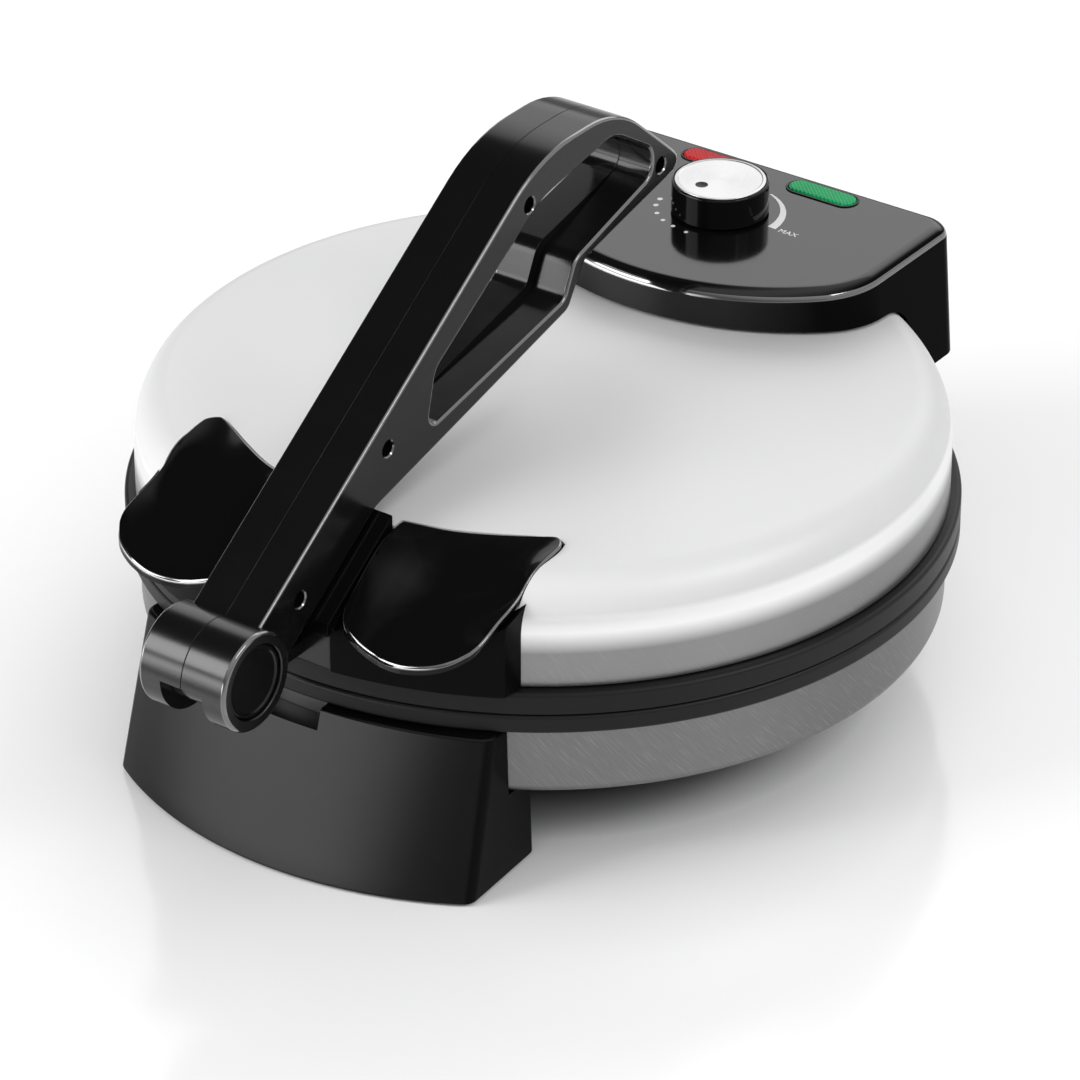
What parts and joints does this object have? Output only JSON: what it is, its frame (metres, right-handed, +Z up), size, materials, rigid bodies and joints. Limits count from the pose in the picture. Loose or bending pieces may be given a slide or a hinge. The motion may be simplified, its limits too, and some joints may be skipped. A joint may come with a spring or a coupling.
{
  "type": "electric roti maker",
  "caption": "Round countertop flatbread press with a hinged steel lid, folding press lever, heat knob with lights, and feet.",
  "frame": {"origin": "middle of the footprint, on the table", "axes": "+Z up, -Y towards the front foot and the lever's pivot, +Y towards the hinge and the cord inlet, +X to the right seen from the front"},
  "size_m": [0.29, 0.3652, 0.2075],
  "materials": {
    "steel": "satin brushed",
    "dark_steel": "plain",
    "cast_plate": "dark non-stick coat",
    "heater_metal": "matt",
    "ring_plastic": "satin, heat proof",
    "gloss_black": "high gloss",
    "satin_black": "satin",
    "silver": "satin",
    "rubber": "matt",
    "green_light": "clear, ribbed inside",
    "red_light": "clear, ribbed inside",
    "glass": "clear",
    "ceramic": "matt ceramic"
  },
  "bodies": {
    "base": {"base_shell": "steel", "base_ring": "ring_plastic", "lower_plate": "cast_plate", "lower_heater": "heater_metal", "lower_reflector": "dark_steel", "lower_stud_1": "dark_steel", "lower_stud_2": "dark_steel", "lower_stud_3": "dark_steel", "base_cover": "satin_black", "front_foot": "gloss_black", "front_pad_left": "rubber", "front_pad_right": "rubber", "rear_housing": "gloss_black", "rear_pad_left": "rubber", "rear_pad_right": "rubber", "cord_inlet": "rubber", "terminal_block": "ceramic", "hinge_pin": "dark_steel"},
    "lid": {"lid_shell": "steel", "lid_ring": "ring_plastic", "upper_plate": "cast_plate", "upper_heater": "heater_metal", "upper_reflector": "dark_steel", "upper_stud_1": "dark_steel", "upper_stud_2": "dark_steel", "upper_stud_3": "dark_steel", "front_bracket": "satin_black", "wing_left": "gloss_black", "wing_right": "gloss_black", "lever_bracket": "satin_black", "lever_rest_pad": "rubber", "control_housing": "gloss_black", "hinge_arm_left": "satin_black", "hinge_arm_right": "satin_black", "red_lens": "red_light", "green_lens": "green_light", "red_lamp": "glass", "green_lamp": "glass", "thermostat": "dark_steel"},
    "knob": {"thermostat_shaft": "dark_steel", "knob_body": "gloss_black", "knob_cap": "silver"},
    "lever": {"lever_left": "gloss_black", "lever_right": "gloss_black", "barrel_cap_left": "gloss_black", "barrel_cap_right": "gloss_black", "pivot_pin": "dark_steel", "lever_screw_1": "dark_steel", "lever_screw_2": "dark_steel", "lever_screw_3": "dark_steel", "lever_screw_4": "dark_steel"}
  },
  "joints": [
    {"name": "lid_hinge", "type": "hinge", "parent": "base", "child": "lid", "pos_m": [0, 0.1697, 0.066], "axis": [-1, 0, 0], "range_deg": [0, 97]},
    {"name": "lever_fold", "type": "hinge", "parent": "lid", "child": "lever", "pos_m": [0, -0.1653, 0.086], "axis": [1, 0, 0], "range_deg": [0, 125]},
    {"name": "heat_knob", "type": "hinge", "parent": "lid", "child": "knob", "pos_m": [0, 0.1261, 0.1303], "axis": [0, 0, -1], "range_deg": [-18, 250]}
  ]
}
